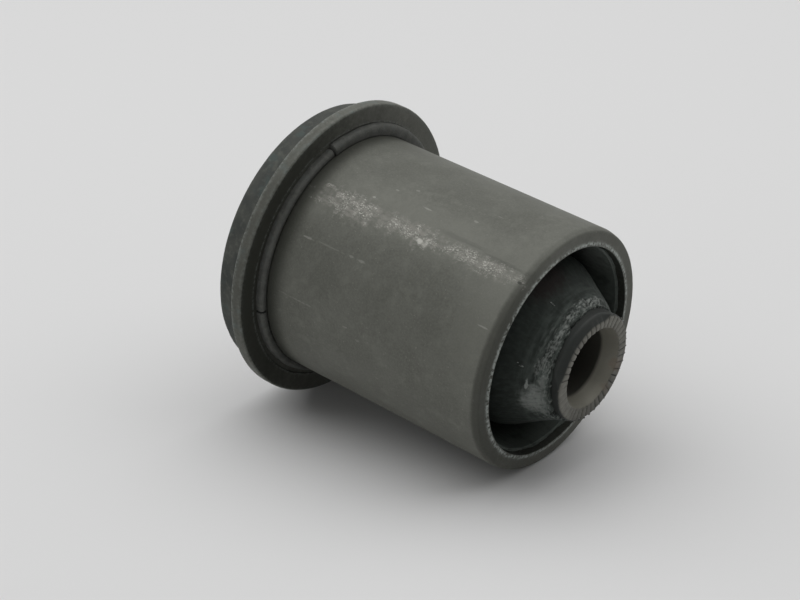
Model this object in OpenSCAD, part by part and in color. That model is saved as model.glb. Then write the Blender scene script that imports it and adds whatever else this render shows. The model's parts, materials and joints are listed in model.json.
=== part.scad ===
// Control arm bushing: a bolt sleeve held in a flanged outer sleeve by bonded rubber.
// It stands on the thrust pad behind its flange. The bolt axis is +Z and the pad's rear face is Z = 0.

/* [Outer sleeve] */
// Outside diameter of the tube that is pressed into the arm's eye
tube_od = 50; // [44:0.5:60]
// Wall thickness of the tube
tube_wall = 3.5; // [2.6:0.1:4]
// Length of the tube from the front face of the flange to its free end
tube_len = 54; // [36:0.5:80]
// Height of the lead-in taper at the free end, with the crest above it
lip_h = 1.6; // [1.2:0.05:3]
// How far the taper draws the tube's radius in
lip_taper = 0.4; // [0.2:0.05:0.6]
// Radius that softens the bend between tube and taper
lip_bend_r = 1.2; // [0.4:0.1:1.6]
// Radius between the taper and the end face
lip_edge_r = 0.5; // [0.2:0.05:0.6]
// Width of the crest that stands up around the tube's mouth
crest_w = 1; // [0.4:0.05:1.2]
// Height of that crest above the end face
crest_h = 0.15; // [0.05:0.05:0.3]
// Outside diameter of the flange
flange_od = 62.6; // [58:0.2:72]
// Thickness of the flange
flange_t = 2.55; // [1.8:0.05:4]
// Radius of the inside bend where the tube turns into the flange
flange_bend_r = 2.4; // [1:0.1:3]
// Chamfer on both edges of the flange's rim
rim_chamfer = 0.3; // [0.1:0.05:0.6]
// Width of the recess turned into the flange's face for the root bead
seat_w = 2.4; // [2.1:0.05:3]
// Depth of that recess, in the flange's face and in the foot of the tube
seat_depth = 0.35; // [0.3:0.05:0.5]

/* [Inner sleeve] */
// Outside diameter of the bolt sleeve
sleeve_od = 22; // [19:0.5:24]
// Length of the bolt sleeve
sleeve_len = 70; // [60:0.5:100]
// Diameter of the bolt bore
bore_d = 14.2; // [10.2:0.1:15]
// Diameter of the countersink at each mouth of the bore
mouth_d = 16.7; // [15.4:0.1:17.4]
// Depth of the countersink
mouth_depth = 3.6; // [1:0.1:6]
// Chamfer around the outside edge of each end face
sleeve_chamfer = 0.5; // [0.1:0.05:0.6]
// Number of radial serrations stamped into each end face
tooth_count = 42; // [24:1:60]
// Width of one serration at the end face
tooth_w = 0.5; // [0.4:0.05:0.9]
// Depth of one serration
tooth_depth = 0.3; // [0.15:0.05:0.6]

/* [Rubber] */
// Thickness of the thrust pad behind the flange
pad_t = 5.65; // [3:0.05:9]
// Outside diameter of the thrust pad
pad_od = 57.6; // [54.2:0.2:57.8]
// Radius on the rear edge of the thrust pad
pad_edge_r = 0.8; // [0.5:0.1:2]
// Distance from the pad's rear face to the bolt sleeve's rear end
sleeve_recess = 0.3; // [0:0.05:1]
// Width of the relief around the sleeve's rear end
relief_w = 4; // [2.5:0.1:6]
// Depth of the relief around the sleeve's rear end
relief_depth = 2.2; // [1.2:0.1:2.8]
// Bare length of bolt sleeve in front of the neck
neck_setback = 2.4; // [1.5:0.1:5]
// Rubber thickness at the front edge of the neck
neck_t = 0.5; // [0.4:0.05:1]
// Depth of the shoulder that the neck flares out to, below the neck's front edge
shoulder_depth = 11; // [8:0.5:14]
// Radius of the blend between flare and shoulder
shoulder_blend_r = 9; // [3:0.5:10]
// Thickness of the lining on the tube's inside wall, at its front edge
lining_t = 0.6; // [0.5:0.05:1]
// Distance from the tube's free end to the front edge of the lining
lining_setback = 1.75; // [1:0.05:4]
// Depth of the front groove below the tube's free end
groove_depth = 14; // [11:0.5:18]
// Radius of the round floor of the groove
groove_floor_r = 1.15; // [0.8:0.05:1.8]
// Draft on each side of the groove
groove_draft = 3; // [1:0.5:4]

/* [Root bead] */
// Width of the bead on the flange's face
bead_w = 1.6; // [1:0.05:2]
// Height of the bead along the tube
bead_h = 1.45; // [0.6:0.05:1.8]
// Angle from the front of the bead to each of its parting nicks
nick_angle = 41.75; // [20:0.25:70]
// Width of each parting nick
nick_w = 0.35; // [0.2:0.05:0.6]
// Rubber left between the floor of a nick and the tube
nick_floor = 0.3; // [0.1:0.05:0.6]

/* [Hidden] */
$fn = 180;
// How far cutting shapes reach past the faces that they cut
over = 1;

// Radii, from the bolt outwards
sleeve_r = sleeve_od / 2;
bore_r = bore_d / 2;
mouth_r = mouth_d / 2;
tube_r = tube_od / 2;
wall_r = tube_r - tube_wall;
lining_r = wall_r - lining_t;
flange_r = flange_od / 2;
pad_r = pad_od / 2;
neck_r = sleeve_r + neck_t;

// Heights, from the pad's rear face upwards
flange_rear_z = pad_t;
flange_face_z = flange_rear_z + flange_t;
tube_end_z = flange_face_z + tube_len;
bend_z = tube_end_z - lip_h;
end_face_z = tube_end_z - crest_h;
sleeve_end_z = sleeve_recess + sleeve_len;
neck_z = sleeve_end_z - neck_setback;
shoulder_z = neck_z - shoulder_depth;
lining_z = tube_end_z - lining_setback;

// The groove's floor is round, and its two flanks touch that round and open out by the draft
floor_z = tube_end_z - groove_depth + groove_floor_r;
floor_half_w = groove_floor_r / cos(groove_draft);
floor_mid_r = lining_r - (lining_z - floor_z) * tan(groove_draft) - floor_half_w;
shoulder_r = floor_mid_r - floor_half_w - (shoulder_z - floor_z) * tan(groove_draft);

// The bead fills the recess and stands proud of it, under an arc that starts flat at the tube
seat_r = tube_r - seat_depth;
seat_z = flange_face_z - seat_depth;
bead_span = bead_w + seat_depth;
bead_rise = bead_h + seat_depth;
bead_arc_r = (bead_span * bead_span + bead_rise * bead_rise) / (2 * bead_rise);

function unit(v) = v / norm(v);

// The wedge between a corner and an arc that touches both of its legs, reaching back past the corner.
// Taken away it rounds an outside corner, and added it fills an inside one.
module corner_wedge(corner, leg_a, leg_b, r) {
    dir_a = unit(leg_a - corner);
    dir_b = unit(leg_b - corner);
    inward = unit(dir_a + dir_b);
    half = acos(dir_a * dir_b) / 2;
    reach = r / tan(half);
    difference() {
        polygon([corner + dir_a * reach, corner - inward * over, corner + dir_b * reach]);
        translate(corner + inward * r / sin(half)) circle(r);
    }
}

// The corner of the bore where tube turns into flange, shared by steel and rubber
module flange_bend() {
    corner_wedge([wall_r, flange_rear_z], [wall_r, tube_end_z], [flange_r, flange_rear_z], flange_bend_r);
}

module outer_sleeve_section() {
    bend = [tube_r, bend_z];
    lip_edge = [tube_r - lip_taper, end_face_z];
    crest_foot = [wall_r + crest_w, end_face_z];
    difference() {
        polygon([
            [wall_r, flange_rear_z],
            [flange_r - rim_chamfer, flange_rear_z],
            [flange_r, flange_rear_z + rim_chamfer],
            [flange_r, flange_face_z - rim_chamfer],
            [flange_r - rim_chamfer, flange_face_z],
            [tube_r + seat_w, flange_face_z],
            [tube_r + seat_w, seat_z],
            [seat_r, seat_z],
            [seat_r, flange_face_z + bead_h],
            [tube_r, flange_face_z + bead_h],
            bend,
            lip_edge,
            crest_foot,
            [wall_r + crest_w / 2, tube_end_z],
            [wall_r, tube_end_z]
        ]);
        corner_wedge(bend, [tube_r, flange_face_z], lip_edge, lip_bend_r);
        corner_wedge(lip_edge, bend, crest_foot, lip_edge_r);
        flange_bend();
    }
}

module outer_sleeve() {
    color("#5a5b57") rotate_extrude() outer_sleeve_section();
}

// One radial groove in the face at Z = 0, from inside the bore to past the rim
module serration() {
    translate([bore_r, 0, 0]) rotate([90, 0, 90]) linear_extrude(sleeve_r - bore_r + over)
        polygon([[-tooth_w / 2, 0], [0, -tooth_depth], [tooth_w / 2, 0], [tooth_w / 2, over], [-tooth_w / 2, over]]);
}

module serrated_face() {
    for (i = [0 : tooth_count - 1]) rotate(360 * i / tooth_count) serration();
}

module inner_sleeve_section() {
    rear = sleeve_recess;
    front = sleeve_end_z;
    polygon([
        [bore_r, rear + mouth_depth],
        [mouth_r, rear],
        [sleeve_r - sleeve_chamfer, rear],
        [sleeve_r, rear + sleeve_chamfer],
        [sleeve_r, front - sleeve_chamfer],
        [sleeve_r - sleeve_chamfer, front],
        [mouth_r, front],
        [bore_r, front - mouth_depth]
    ]);
}

module inner_sleeve() {
    color("#565650") difference() {
        rotate_extrude() inner_sleeve_section();
        translate([0, 0, sleeve_end_z]) serrated_face();
        translate([0, 0, sleeve_recess]) mirror([0, 0, 1]) serrated_face();
    }
}

module rubber_section() {
    touch = groove_floor_r * [cos(groove_draft), -sin(groove_draft)];
    floor_mid = [floor_mid_r, floor_z];
    floor_in = floor_mid + [-touch.x, touch.y];
    floor_out = floor_mid + touch;
    flare_top = [neck_r, neck_z - neck_t];
    shoulder = [shoulder_r, shoulder_z];
    relief_r = sleeve_r + relief_w;
    pad_edge = [pad_r, 0];
    difference() {
        union() {
            polygon([
                [sleeve_r, relief_depth],
                [relief_r, relief_depth],
                [relief_r, 0],
                pad_edge,
                [pad_r, flange_rear_z],
                [wall_r, flange_rear_z],
                [wall_r, lining_z],
                [lining_r, lining_z],
                floor_out,
                floor_in,
                shoulder,
                flare_top,
                [neck_r, neck_z],
                [sleeve_r, neck_z]
            ]);
            flange_bend();
        }
        translate(floor_mid) circle(groove_floor_r);
        corner_wedge(shoulder, flare_top, floor_in, shoulder_blend_r);
        corner_wedge(pad_edge, [relief_r, 0], [pad_r, flange_rear_z], pad_edge_r);
    }
}

module rubber_bush() {
    color("#26292a") rotate_extrude() rubber_section();
}

module bead_section() {
    intersection() {
        translate([seat_r, seat_z + bead_rise - bead_arc_r]) circle(bead_arc_r);
        translate([seat_r, seat_z]) square([bead_span, bead_rise]);
    }
}

module root_bead() {
    color("#3a3b38") difference() {
        rotate_extrude() bead_section();
        for (side = [-90, 90], turn = [-nick_angle, nick_angle])
            rotate(side + turn)
                translate([tube_r + nick_floor, -nick_w / 2, seat_z - over])
                    cube([bead_w + over, nick_w, bead_rise + 2 * over]);
    }
}

outer_sleeve();
inner_sleeve();
rubber_bush();
root_bead();
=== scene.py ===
"""Looks of the control arm bushing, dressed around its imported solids.

Four bonded pieces make the bushing: a flanged outer sleeve rolled and welded from steel strip, a bolt
sleeve with serrated ends, the moulded rubber between them with its thrust pad, and a rubber bead at the
flange's root.
Sizes in the classes are millimetres, as on a drawing, and MM turns them to metres when a mesh is made.
Angles are degrees about the bolt axis, where 0 is +X and -90 is -Y.
"""

import json
import logging
import math
from collections.abc import Callable, Sequence
from dataclasses import dataclass
from enum import Enum

import bmesh
import bpy
import numpy as np
from mathutils import Matrix, Vector, noise


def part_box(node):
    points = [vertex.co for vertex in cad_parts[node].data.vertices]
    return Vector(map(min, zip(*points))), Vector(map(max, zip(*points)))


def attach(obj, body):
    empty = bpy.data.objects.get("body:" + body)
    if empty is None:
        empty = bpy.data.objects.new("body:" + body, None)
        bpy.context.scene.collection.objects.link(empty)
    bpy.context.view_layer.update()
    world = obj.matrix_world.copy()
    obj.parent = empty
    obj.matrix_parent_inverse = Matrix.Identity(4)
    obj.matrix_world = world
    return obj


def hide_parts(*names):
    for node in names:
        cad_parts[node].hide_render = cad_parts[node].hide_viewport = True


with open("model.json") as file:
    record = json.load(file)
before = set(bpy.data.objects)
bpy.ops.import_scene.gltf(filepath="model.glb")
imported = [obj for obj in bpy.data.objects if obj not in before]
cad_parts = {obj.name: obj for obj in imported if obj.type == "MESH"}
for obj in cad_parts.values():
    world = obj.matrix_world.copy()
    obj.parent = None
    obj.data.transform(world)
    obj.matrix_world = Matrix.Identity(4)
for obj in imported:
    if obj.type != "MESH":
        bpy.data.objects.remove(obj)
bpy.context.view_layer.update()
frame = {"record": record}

LOG = logging.getLogger("bushing")
MM = 0.001
BODY = "root"
# How finely a rounded corner is drawn, and the edge angle from which shading stays sharp
ARC_STEP = math.radians(14)
SHARP_EDGE = math.radians(42)
# How far wear reaches past a corner's own radius
WEAR_REACH = 0.25
# Roughness, step and number of the octaves in every relief, and the distance from one relief to the next
OCTAVES = (1.0, 2.0, 3)
SEED_STEP = 31.7

Colour = tuple[float, float, float, float]
Socket = bpy.types.NodeSocket
Shaper = Callable[[np.ndarray, np.ndarray, np.ndarray], tuple[np.ndarray, np.ndarray]]


class Slot(Enum):
    """The record's material slots."""

    OUTER_STEEL = "outer_steel"
    INNER_STEEL = "inner_steel"
    RUBBER = "rubber"


def box_mm(node: str) -> tuple[Vector, Vector]:
    """Read the lowest and the highest corner of a solid's box from the frame, in millimetres."""
    low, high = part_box(node)
    return Vector(low) / MM, Vector(high) / MM


def mount_radius(name: str) -> float:
    """Read the radius of a round mount from the record, in millimetres."""
    found = next(mount for mount in frame["record"]["mounts"] if mount["name"] == name)
    return float(found["dims"]["r_mm"])


# Turned sections


@dataclass(frozen=True)
class Corner:
    """One corner of a turned section.

    Attributes:
        r: Distance from the bolt axis.
        z: Height.
        soft: Radius that rounds the corner.
        worn: How far the edge is rubbed bare, from 0 to 1.
        run: Longest mesh step on the straight that leaves this corner, or 0 for the section's own.
    """

    r: float
    z: float
    soft: float = 0.0
    worn: float = 0.0
    run: float = 0.0


@dataclass(frozen=True)
class Section:
    """A closed turned section, counter-clockwise with r to the right and z upwards.

    Attributes:
        corners: The corners in order.
        step: Longest mesh step on a straight.
    """

    corners: tuple[Corner, ...]
    step: float = 1.0

    def points(self) -> np.ndarray:
        """Trace the section with its corners rounded and its straights divided.

        Returns:
            An array of r and z, one row for each point.
        """
        count = len(self.corners)
        places = [np.array([corner.r, corner.z]) for corner in self.corners]
        arcs = []
        for i, corner in enumerate(self.corners):
            arcs.append(rounded(places[i - 1], places[i], places[(i + 1) % count], corner.soft))
        traced: list[np.ndarray] = []
        for i, corner in enumerate(self.corners):
            traced.extend(arcs[i][:-1])
            start = arcs[i][-1]
            end = arcs[(i + 1) % count][0]
            parts = max(1, math.ceil(float(np.linalg.norm(end - start)) / (corner.run or self.step)))
            traced.extend(start + (end - start) * k / parts for k in range(parts))
        return np.array(traced)

    def wear(self, points: np.ndarray) -> np.ndarray:
        """Find how far each point of the section is rubbed bare.

        Args:
            points: The section's points.

        Returns:
            One value from 0 to 1 for each point.
        """
        found = np.zeros(len(points))
        for corner in self.corners:
            distance = np.hypot(points[:, 0] - corner.r, points[:, 1] - corner.z)
            found = np.maximum(found, corner.worn * np.exp(-((distance / (corner.soft + WEAR_REACH)) ** 2)))
        return found


def rounded(before: np.ndarray, corner: np.ndarray, after: np.ndarray, radius: float) -> list[np.ndarray]:
    """Round one corner of a section.

    Args:
        before: The corner before it.
        corner: The corner itself.
        after: The corner after it.
        radius: Radius of the arc that touches both legs.

    Returns:
        The points of the arc, or the corner alone where the radius is 0.
    """
    if radius <= 0.0:
        return [corner]
    back = (before - corner) / np.linalg.norm(before - corner)
    on = (after - corner) / np.linalg.norm(after - corner)
    half = math.acos(float(np.clip(back @ on, -1.0, 1.0))) / 2
    inward = (back + on) / np.linalg.norm(back + on)
    centre = corner + inward * radius / math.sin(half)
    start = corner + back * radius / math.tan(half) - centre
    end = corner + on * radius / math.tan(half) - centre
    first = math.atan2(start[1], start[0])
    sweep = (math.atan2(end[1], end[0]) - first + math.pi) % (2 * math.pi) - math.pi
    parts = max(3, math.ceil(abs(sweep) / ARC_STEP))
    angles = [first + sweep * k / parts for k in range(parts + 1)]
    return [centre + radius * np.array([math.cos(a), math.sin(a)]) for a in angles]


def spread_columns(step: float, fine: Sequence[tuple[float, float, float]] = ()) -> np.ndarray:
    """Lay out the columns of a turned mesh, closer together where detail needs it.

    Args:
        step: Degrees between columns.
        fine: Spans with their own step, each as first angle, last angle and step.

    Returns:
        Angles in degrees from -180 to 180, in order.
    """
    angles = np.arange(-180.0, 180.0 - step / 2, step)
    for first, last, own in fine:
        angles = angles[(angles < first - own / 2) | (angles > last + own / 2)]
        angles = np.concatenate([angles, np.arange(first, last + own / 2, own)])
    return np.sort(angles)


def around_axis(r: np.ndarray, z: np.ndarray, angle: np.ndarray) -> np.ndarray:
    """Turn radii, heights and angles in degrees to points, one row each."""
    turn_by = np.radians(angle)
    return np.stack([r * np.cos(turn_by), r * np.sin(turn_by), z], axis=-1).reshape(-1, 3)


def relief(r: np.ndarray, z: np.ndarray, angle: np.ndarray, grain: float, seed: float) -> np.ndarray:
    """Sample a smooth random relief on a turned surface.

    Args:
        r: Radii of the points.
        z: Heights of the points.
        angle: Angles of the points in degrees, one row for each column of the mesh.
        grain: Size of one lump in millimetres.
        seed: Picks one relief from the many.

    Returns:
        Values from about -1 to 1, in the shape of r.
    """
    places = around_axis(r, z, angle) / grain + SEED_STEP * seed
    values = [noise.fractal(Vector(place), *OCTAVES) for place in places]
    return np.array(values).reshape(r.shape)


def smooth_rise(value: np.ndarray, low: float, high: float) -> np.ndarray:
    """Rise from 0 where the value is low to 1 where it is high, without a kink at either end."""
    part = np.clip((value - low) / (high - low), 0.0, 1.0)
    return part * part * (3.0 - 2.0 * part)


def mesh_of(name: str, shape: bmesh.types.BMesh) -> bpy.types.Mesh:
    """Turn a shape that is ready into a mesh of the given name."""
    mesh = bpy.data.meshes.new(name)
    shape.to_mesh(mesh)
    shape.free()
    return mesh


def show(name: str, data: bpy.types.ID) -> bpy.types.Object:
    """Put a mesh, a lamp or a camera in the scene as an object at the origin.

    Args:
        name: Name of the object.
        data: What it shows, in metres.

    Returns:
        The object.
    """
    piece = bpy.data.objects.new(name, data)
    bpy.context.scene.collection.objects.link(piece)
    return piece


def turned(
    name: str, section: Section, columns: np.ndarray, shaper: Shaper | None = None
) -> bpy.types.Object:
    """Turn a section about the bolt axis into a closed ring.

    Args:
        name: Name of the piece.
        section: Its section.
        columns: Angles of the mesh's columns.
        shaper: Moves the points to their real, less regular places.

    Returns:
        The piece, with its rubbed edges in the point attribute "wear".
    """
    points = section.points()
    angle = columns[:, None]
    r = np.repeat(points[None, :, 0], len(columns), axis=0)
    z = np.repeat(points[None, :, 1], len(columns), axis=0)
    if shaper:
        r, z = shaper(r, z, angle)
    places = around_axis(r, z, angle) * MM
    column, row = np.meshgrid(np.arange(len(columns)), np.arange(len(points)), indexing="ij")
    beside = (column + 1) % len(columns)
    above = (row + 1) % len(points)
    size = len(points)
    quads = np.stack(
        [column * size + row, beside * size + row, beside * size + above, column * size + above], axis=-1
    ).reshape(-1, 4)
    mesh = bpy.data.meshes.new(name)
    mesh.from_pydata(places.tolist(), [], quads.tolist())
    wear = np.tile(section.wear(points), len(columns))
    mesh.attributes.new("wear", "FLOAT", "POINT").data.foreach_set("value", wear)
    mesh.shade_smooth()
    mesh.set_sharp_from_angle(angle=SHARP_EDGE)
    return show(name, mesh)


# Node patterns


def linear(code: str) -> Colour:
    """Turn an sRGB hex colour to linear values.

    Args:
        code: Colour such as "#5e5f5a".

    Returns:
        Red, green, blue and an alpha of 1.
    """
    parts = [int(code[i : i + 2], 16) / 255 for i in (1, 3, 5)]
    red, green, blue = (v / 12.92 if v <= 0.04045 else ((v + 0.055) / 1.055) ** 2.4 for v in parts)
    return red, green, blue, 1.0


def blank_tree(owner: bpy.types.Material | bpy.types.World) -> bpy.types.NodeTree:
    """Switch a material or a world to nodes, and hand back its tree with nothing in it."""
    owner.use_nodes = True
    owner.node_tree.nodes.clear()
    return owner.node_tree


def add(
    tree: bpy.types.NodeTree, kind: str, inputs: dict | None = None, out: int | str = 0, **settings: object
) -> Socket | None:
    """Add one node to a tree with its settings, values and links.

    Args:
        tree: The tree.
        kind: Type name of the node.
        inputs: For each input's name or number, a value, a socket to link, or a list of sockets to link.
        out: Name or number of the output that is handed back.
        settings: The node's own properties.

    Returns:
        That output, or None where the node has none.
    """
    node = tree.nodes.new(kind)
    for name, value in settings.items():
        setattr(node, name, value)
    for key, value in (inputs or {}).items():
        for link in value if isinstance(value, list) else [value]:
            if isinstance(link, bpy.types.NodeSocket):
                tree.links.new(link, node.inputs[key])
            else:
                node.inputs[key].default_value = link
    return node.outputs[out] if node.outputs else None


@dataclass(frozen=True)
class Spot:
    """One mark on a turned surface: a soft ellipse with a frayed edge.

    Attributes:
        angle: Angle of its middle in degrees.
        z: Height of its middle.
        half_arc: Half its width around the surface.
        half_z: Half its length along the axis.
        strength: How strongly it shows.
        fray: How far its edge wanders, as a share of its size.
        soft: Width of its edge, as a share of its size.
    """

    angle: float
    z: float
    half_arc: float
    half_z: float
    strength: float = 1.0
    fray: float = 0.8
    soft: float = 0.4


@dataclass(frozen=True)
class Canvas:
    """A material in the making, with the coordinates that its patterns are drawn in.

    Attributes:
        material: The material.
        tree: Its node tree.
        here: Place on the piece in millimetres.
        around: Angle in degrees, height and radius in millimetres, as one vector.
        z: Height in millimetres.
        r: Radius in millimetres.
    """

    material: bpy.types.Material
    tree: bpy.types.NodeTree
    here: Socket
    around: Socket
    z: Socket
    r: Socket

    @classmethod
    def blank(cls, name: str) -> "Canvas":
        """Start a material.

        Args:
            name: Common name of the real material.

        Returns:
            The canvas, with its coordinates ready.
        """
        material = bpy.data.materials.new(name)
        tree = blank_tree(material)
        metres = add(tree, "ShaderNodeTexCoord", out="Object")
        here = add(tree, "ShaderNodeVectorMath", {0: metres, "Scale": 1 / MM}, operation="SCALE")
        xyz = add(tree, "ShaderNodeSeparateXYZ", {0: here}).node.outputs
        radians = add(tree, "ShaderNodeMath", {0: xyz["Y"], 1: xyz["X"]}, operation="ARCTAN2")
        degrees = add(tree, "ShaderNodeMath", {0: radians}, operation="DEGREES")
        across = add(tree, "ShaderNodeVectorMath", {0: here, 1: (1, 1, 0)}, operation="MULTIPLY")
        r = add(tree, "ShaderNodeVectorMath", {0: across}, out="Value", operation="LENGTH")
        around = add(tree, "ShaderNodeCombineXYZ", {0: degrees, 1: xyz["Z"], 2: r})
        return cls(material, tree, here, around, xyz["Z"], r)

    def clouds(
        self,
        size: float,
        low: float = 0.35,
        high: float = 0.65,
        most: float = 1.0,
        stretch: tuple[float, float, float] = (1.0, 1.0, 1.0),
        detail: float = 2.0,
    ) -> Socket:
        """Draw random clouds of one real size.

        Args:
            size: Size of a cloud in millimetres.
            low: Noise value that gives 0.
            high: Noise value that gives the most.
            most: Highest value of the mask.
            stretch: How many times longer a cloud is along each axis.
            detail: How much finer structure a cloud has.

        Returns:
            A mask from 0 to the most.
        """
        scale = tuple(1 / (size * part) for part in stretch)
        at = add(self.tree, "ShaderNodeVectorMath", {0: self.here, 1: scale}, operation="MULTIPLY")
        cloud = add(self.tree, "ShaderNodeTexNoise", {"Vector": at, "Scale": 1.0, "Detail": detail})
        edges = {0: cloud, 1: low, 2: high, 4: most}
        return add(self.tree, "ShaderNodeMapRange", edges, interpolation_type="SMOOTHSTEP")

    def strokes(
        self, length: float, width: float, r: float, low: float, high: float, most: float = 1.0
    ) -> Socket:
        """Draw random strokes that run around the axis.

        Args:
            length: Length of a stroke in millimetres.
            width: Width of a stroke in millimetres.
            r: Radius of the surface that they lie on.
            low: Noise value that gives 0.
            high: Noise value that gives the most.
            most: Highest value of the mask.

        Returns:
            A mask from 0 to the most.
        """
        scale = (math.radians(1) * r / length, 1 / width, 0.0)
        at = add(self.tree, "ShaderNodeVectorMath", {0: self.around, 1: scale}, operation="MULTIPLY")
        stroke = add(self.tree, "ShaderNodeTexNoise", {"Vector": at, "Scale": 1.0, "Detail": 4.0})
        edges = {0: stroke, 1: low, 2: high, 4: most}
        return add(self.tree, "ShaderNodeMapRange", edges, interpolation_type="SMOOTHSTEP")

    def marks(self, spots: Sequence[Spot], r: float, fray: Socket) -> Socket:
        """Draw a set of frayed spots and keep the strongest at each place.

        Args:
            spots: The spots.
            r: Radius of the surface that they lie on.
            fray: Noise that wears their edges.

        Returns:
            A mask from 0 to 1.
        """
        tree = self.tree
        total: Socket | float = 0.0
        for spot in spots:
            middle = (spot.angle, spot.z, r)
            scale = (math.radians(1) * r / spot.half_arc, 1 / spot.half_z, 0.0)
            away = add(tree, "ShaderNodeVectorMath", {0: self.around, 1: middle}, operation="SUBTRACT")
            sized = add(tree, "ShaderNodeVectorMath", {0: away, 1: scale}, operation="MULTIPLY")
            distance = add(tree, "ShaderNodeVectorMath", {0: sized}, out="Value", operation="LENGTH")
            wander = {0: fray, 1: spot.fray, 2: distance}
            frayed = add(tree, "ShaderNodeMath", wander, operation="MULTIPLY_ADD")
            edge = 1 + spot.fray / 2
            edges = {0: frayed, 1: edge + spot.soft / 2, 2: edge - spot.soft / 2, 4: spot.strength}
            mask = add(tree, "ShaderNodeMapRange", edges, interpolation_type="SMOOTHSTEP")
            total = add(tree, "ShaderNodeMath", {0: mask, 1: total}, operation="MAXIMUM")
        return total

    def coats(self, ground: str, coats: Sequence[tuple[Socket, str]]) -> Socket:
        """Lay colours over each other.

        Args:
            ground: Colour at the bottom.
            coats: A mask and a colour for each coat, from the bottom up.

        Returns:
            The colour that shows.
        """
        shown: Socket | Colour = linear(ground)
        for mask, code in coats:
            layers = {0: mask, 6: shown, 7: linear(code)}
            shown = add(self.tree, "ShaderNodeMix", layers, out=2, data_type="RGBA")
        return shown

    def cover(self, inputs: dict, height: Socket, strength: float, depth: float) -> bpy.types.Material:
        """Close the material with its surface shader.

        Args:
            inputs: The shader's values and links.
            height: The surface's fine unevenness.
            strength: How strongly that unevenness shades.
            depth: Its real depth in millimetres.

        Returns:
            The material.
        """
        uneven = {"Height": height, "Strength": strength, "Distance": depth * MM}
        bump = add(self.tree, "ShaderNodeBump", uneven)
        shader = add(self.tree, "ShaderNodeBsdfPrincipled", inputs | {"Normal": bump})
        add(self.tree, "ShaderNodeOutputMaterial", {"Surface": shader})
        return self.material


# Finishes


@dataclass(frozen=True)
class TubeMarks:
    """The marks that making and handling left on the outer sleeve.

    Attributes:
        weld: The scarfed weld's bright places.
        scratches: Fine bright scratches.
        haze_and_highlight: Broad, faintly brighter places: painted highlight near the lip, and beside the
            weld partly the scarfing's haze and partly painted highlight.
        seam: The dark line beside the weld.
        shade_and_film: Painted shade in bands on the near side of the rim and the lip, down the tube's side,
            and on the tube's top beside the flange.
        face: Painted shade on the flange's face, all round but its top.
    """

    weld: tuple[Spot, ...]
    scratches: tuple[Spot, ...]
    haze_and_highlight: tuple[Spot, ...]
    seam: tuple[Spot, ...]
    shade_and_film: tuple[Spot, ...]
    face: tuple[Spot, ...]


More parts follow.
